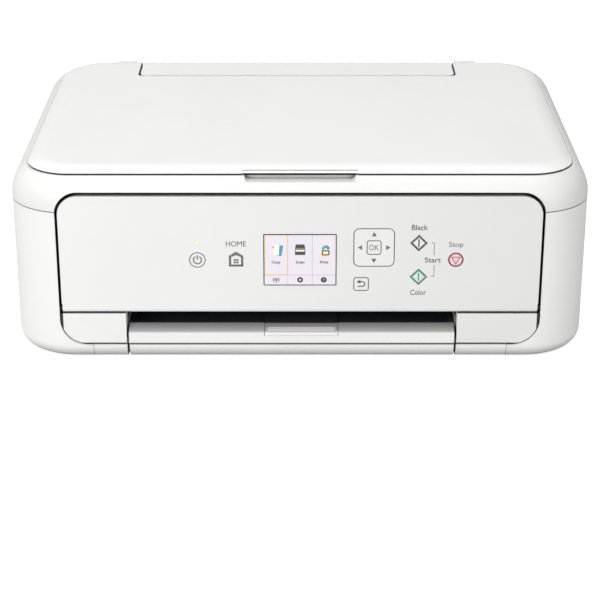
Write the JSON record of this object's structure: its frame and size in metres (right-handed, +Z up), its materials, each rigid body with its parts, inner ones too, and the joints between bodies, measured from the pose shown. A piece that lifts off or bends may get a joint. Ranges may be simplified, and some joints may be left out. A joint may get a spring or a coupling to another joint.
{
  "type": "multifunction printer",
  "caption": "White desktop inkjet printer with a flatbed scanner under a hinged cover, an opening control panel, output tray, paper cassette and rear paper feed.",
  "frame": {"origin": "under the middle of the case, on the surface that it stands on", "axes": "+X to the right seen from the front, -Y to the front, +Z up"},
  "size_m": [0.425, 0.315, 0.147],
  "materials": {
    "white_plastic": "fine satin",
    "panel_plastic": "smooth satin",
    "dark_plastic": "satin",
    "grey_plastic": "satin",
    "key_plastic": "satin",
    "green_key": "satin",
    "red_key": "satin",
    "display_face": "gloss",
    "lamp_lens": "gloss",
    "rubber_foot": "matte",
    "roller_rubber": "matte",
    "sheet_steel": "zinc plated",
    "bright_steel": "ground",
    "clear_glass": "polished",
    "pad_sheet": "matte",
    "board_green": "satin",
    "gear_white": "satin",
    "cartridge_black": "satin"
  },
  "bodies": {
    "case": {"main_case": "white_plastic", "bottom_case": "white_plastic", "front_trim_left": "panel_plastic", "front_trim_right": "panel_plastic", "inner_frame": "dark_plastic", "feet": "rubber_foot", "scanner_housing": "white_plastic", "scanner_base": "grey_plastic", "platen_glass": "clear_glass", "scanner_rod": "bright_steel", "rear_tray": "grey_plastic", "chassis": "sheet_steel", "carriage_belt": "roller_rubber", "carriage_motor": "bright_steel", "feed_motor": "bright_steel", "print_platen": "dark_plastic", "purge_unit": "dark_plastic", "power_supply": "dark_plastic", "main_board": "board_green"},
    "scanner_carriage": {"scanner_carriage": "dark_plastic"},
    "document_cover": {"document_cover": "white_plastic", "document_pad": "pad_sheet"},
    "rear_tray_cover": {"rear_tray_cover": "white_plastic"},
    "rear_guide_left": {"rear_guide_left": "grey_plastic"},
    "rear_guide_right": {"rear_guide_right": "grey_plastic"},
    "paper_support": {"paper_support": "grey_plastic"},
    "front_panel": {"front_panel": "panel_plastic", "panel_back": "grey_plastic", "display": "display_face", "control_board": "board_green", "power_lamp": "lamp_lens"},
    "power_button": {"power_button": "key_plastic"},
    "home_button": {"home_button": "key_plastic"},
    "ok_button": {"ok_button": "key_plastic"},
    "back_button": {"back_button": "key_plastic"},
    "black_button": {"black_button": "key_plastic"},
    "color_button": {"color_button": "green_key"},
    "stop_button": {"stop_button": "red_key"},
    "pad_gimbal": {"pad_gimbal": "roller_rubber"},
    "direction_pad": {"direction_pad": "key_plastic"},
    "output_tray": {"output_tray": "white_plastic"},
    "output_support": {"output_support": "grey_plastic"},
    "cassette": {"cassette": "white_plastic"},
    "cassette_guide_left": {"cassette_guide_left": "grey_plastic"},
    "cassette_guide_right": {"cassette_guide_right": "grey_plastic"},
    "cassette_end_guide": {"cassette_end_guide": "grey_plastic"},
    "carriage": {"carriage": "dark_plastic"},
    "color_cartridge": {"color_cartridge": "cartridge_black"},
    "black_cartridge": {"black_cartridge": "cartridge_black"},
    "color_latch": {"color_latch": "grey_plastic"},
    "black_latch": {"black_latch": "grey_plastic"},
    "drive_pulley": {"drive_pulley": "gear_white"},
    "idler_pulley": {"idler_pulley": "gear_white"},
    "feed_roller": {"feed_roller": "roller_rubber", "feed_gear": "gear_white"},
    "idler_gear": {"idler_gear": "gear_white"},
    "eject_roller": {"eject_roller": "roller_rubber", "eject_gear": "gear_white"},
    "motor_pinion": {"motor_pinion": "gear_white"},
    "rear_feed_roller": {"rear_feed_roller": "roller_rubber"}
  },
  "joints": [
    {"name": "document_cover_hinge", "type": "hinge", "parent": "case", "child": "document_cover", "pos_m": [0, 0.15, 0.1405], "axis": [-1, 0, 0], "range_deg": [0, 80]},
    {"name": "rear_tray_cover_hinge", "type": "hinge", "parent": "case", "child": "rear_tray_cover", "pos_m": [0, 0.137, 0.1398], "axis": [-1, 0, 0], "range_deg": [0, 90]},
    {"name": "paper_support_slide", "type": "slide", "parent": "case", "child": "paper_support", "axis": [0, 0.1392, 0.9903], "range_m": [0, 0.06]},
    {"name": "rear_guide_left_slide", "type": "slide", "parent": "case", "child": "rear_guide_left", "axis": [1, 0, 0], "range_m": [0, 0.05]},
    {"name": "rear_guide_right_slide", "type": "slide", "parent": "case", "child": "rear_guide_right", "axis": [-1, 0, 0], "range_m": [0, 0.05]},
    {"name": "front_panel_hinge", "type": "hinge", "parent": "case", "child": "front_panel", "pos_m": [0, -0.1525, 0.0421], "axis": [1, 0, 0], "range_deg": [0, 75]},
    {"name": "power_button_press", "type": "slide", "parent": "front_panel", "child": "power_button", "axis": [0, 1, 0], "range_m": [0, 0.0006], "stiffness_N_per_m": 800},
    {"name": "home_button_press", "type": "slide", "parent": "front_panel", "child": "home_button", "axis": [0, 1, 0], "range_m": [0, 0.0006], "stiffness_N_per_m": 800},
    {"name": "ok_button_press", "type": "slide", "parent": "front_panel", "child": "ok_button", "axis": [0, 1, 0], "range_m": [0, 0.0006], "stiffness_N_per_m": 800},
    {"name": "back_button_press", "type": "slide", "parent": "front_panel", "child": "back_button", "axis": [0, 1, 0], "range_m": [0, 0.0006], "stiffness_N_per_m": 800},
    {"name": "black_button_press", "type": "slide", "parent": "front_panel", "child": "black_button", "axis": [0, 1, 0], "range_m": [0, 0.0006], "stiffness_N_per_m": 800},
    {"name": "color_button_press", "type": "slide", "parent": "front_panel", "child": "color_button", "axis": [0, 1, 0], "range_m": [0, 0.0006], "stiffness_N_per_m": 800},
    {"name": "stop_button_press", "type": "slide", "parent": "front_panel", "child": "stop_button", "axis": [0, 1, 0], "range_m": [0, 0.0006], "stiffness_N_per_m": 800},
    {"name": "pad_rock_up_down", "type": "hinge", "parent": "front_panel", "child": "pad_gimbal", "pos_m": [0.05365, -0.1506, 0.0905], "axis": [1, 0, 0], "range_deg": [-1, 1], "stiffness_Nm_per_rad": 0.6},
    {"name": "pad_rock_left_right", "type": "hinge", "parent": "pad_gimbal", "child": "direction_pad", "pos_m": [0.05365, -0.1506, 0.0905], "axis": [0, 0, 1], "range_deg": [-1, 1], "stiffness_Nm_per_rad": 0.6},
    {"name": "output_tray_slide", "type": "slide", "parent": "case", "child": "output_tray", "axis": [0, -1, 0], "range_m": [0, 0.09]},
    {"name": "output_support_slide", "type": "slide", "parent": "output_tray", "child": "output_support", "axis": [0, -1, 0], "range_m": [0, 0.08]},
    {"name": "cassette_slide", "type": "slide", "parent": "case", "child": "cassette", "axis": [0, -1, 0], "range_m": [0, 0.2]},
    {"name": "cassette_guide_left_slide", "type": "slide", "parent": "cassette", "child": "cassette_guide_left", "axis": [1, 0, 0], "range_m": [0, 0.055]},
    {"name": "cassette_guide_right_slide", "type": "slide", "parent": "cassette", "child": "cassette_guide_right", "axis": [-1, 0, 0], "range_m": [0, 0.055]},
    {"name": "cassette_end_guide_slide", "type": "slide", "parent": "cassette", "child": "cassette_end_guide", "axis": [0, 1, 0], "range_m": [0, 0.11]},
    {"name": "carriage_slide", "type": "slide", "parent": "case", "child": "carriage", "axis": [-1, 0, 0], "range_m": [0, 0.25]},
    {"name": "color_cartridge_slide", "type": "slide", "parent": "carriage", "child": "color_cartridge", "axis": [0, -1, 0], "range_m": [0, 0.06]},
    {"name": "black_cartridge_slide", "type": "slide", "parent": "carriage", "child": "black_cartridge", "axis": [0, -1, 0], "range_m": [0, 0.06]},
    {"name": "color_latch_hinge", "type": "hinge", "parent": "carriage", "child": "color_latch", "pos_m": [0.1211, 0.002, 0.0946], "axis": [-1, 0, 0], "range_deg": [0, 25]},
    {"name": "black_latch_hinge", "type": "hinge", "parent": "carriage", "child": "black_latch", "pos_m": [0.1589, 0.002, 0.0946], "axis": [-1, 0, 0], "range_deg": [0, 25]},
    {"name": "drive_pulley_spin", "type": "hinge", "parent": "case", "child": "drive_pulley", "pos_m": [0.168, 0.022, 0.076], "axis": [0, 1, 0], "continuous": true},
    {"name": "idler_pulley_spin", "type": "hinge", "parent": "case", "child": "idler_pulley", "pos_m": [-0.168, 0.022, 0.076], "axis": [0, 1, 0], "continuous": true},
    {"name": "feed_roller_spin", "type": "hinge", "parent": "case", "child": "feed_roller", "pos_m": [0, 0.008, 0.038], "axis": [1, 0, 0], "continuous": true},
    {"name": "idler_gear_spin", "type": "hinge", "parent": "case", "child": "idler_gear", "pos_m": [-0.1915, -0.027, 0.038], "axis": [1, 0, 0], "continuous": true},
    {"name": "eject_roller_spin", "type": "hinge", "parent": "case", "child": "eject_roller", "pos_m": [0, -0.058, 0.038], "axis": [1, 0, 0], "continuous": true},
    {"name": "motor_pinion_spin", "type": "hinge", "parent": "case", "child": "motor_pinion", "pos_m": [-0.1915, 0.02471, 0.01808], "axis": [1, 0, 0], "continuous": true},
    {"name": "rear_feed_roller_spin", "type": "hinge", "parent": "case", "child": "rear_feed_roller", "pos_m": [0, 0.06361, 0.06049], "axis": [1, 0, 0], "continuous": true},
    {"name": "scanner_carriage_slide", "type": "slide", "parent": "case", "child": "scanner_carriage", "axis": [1, 0, 0], "range_m": [0, 0.282]}
  ],
  "couplings": [
    {"joint": "rear_guide_right_slide", "follows": "rear_guide_left_slide", "ratio": 1},
    {"joint": "cassette_guide_right_slide", "follows": "cassette_guide_left_slide", "ratio": 1},
    {"joint": "drive_pulley_spin", "follows": "carriage_slide", "rad_per_m": -135.14},
    {"joint": "idler_pulley_spin", "follows": "carriage_slide", "rad_per_m": -135.14},
    {"joint": "idler_gear_spin", "follows": "feed_roller_spin", "ratio": -1.3333},
    {"joint": "eject_roller_spin", "follows": "feed_roller_spin", "ratio": 1.25},
    {"joint": "motor_pinion_spin", "follows": "feed_roller_spin", "ratio": -3.3333},
    {"joint": "rear_feed_roller_spin", "follows": "feed_roller_spin", "ratio": 1}
  ]
}
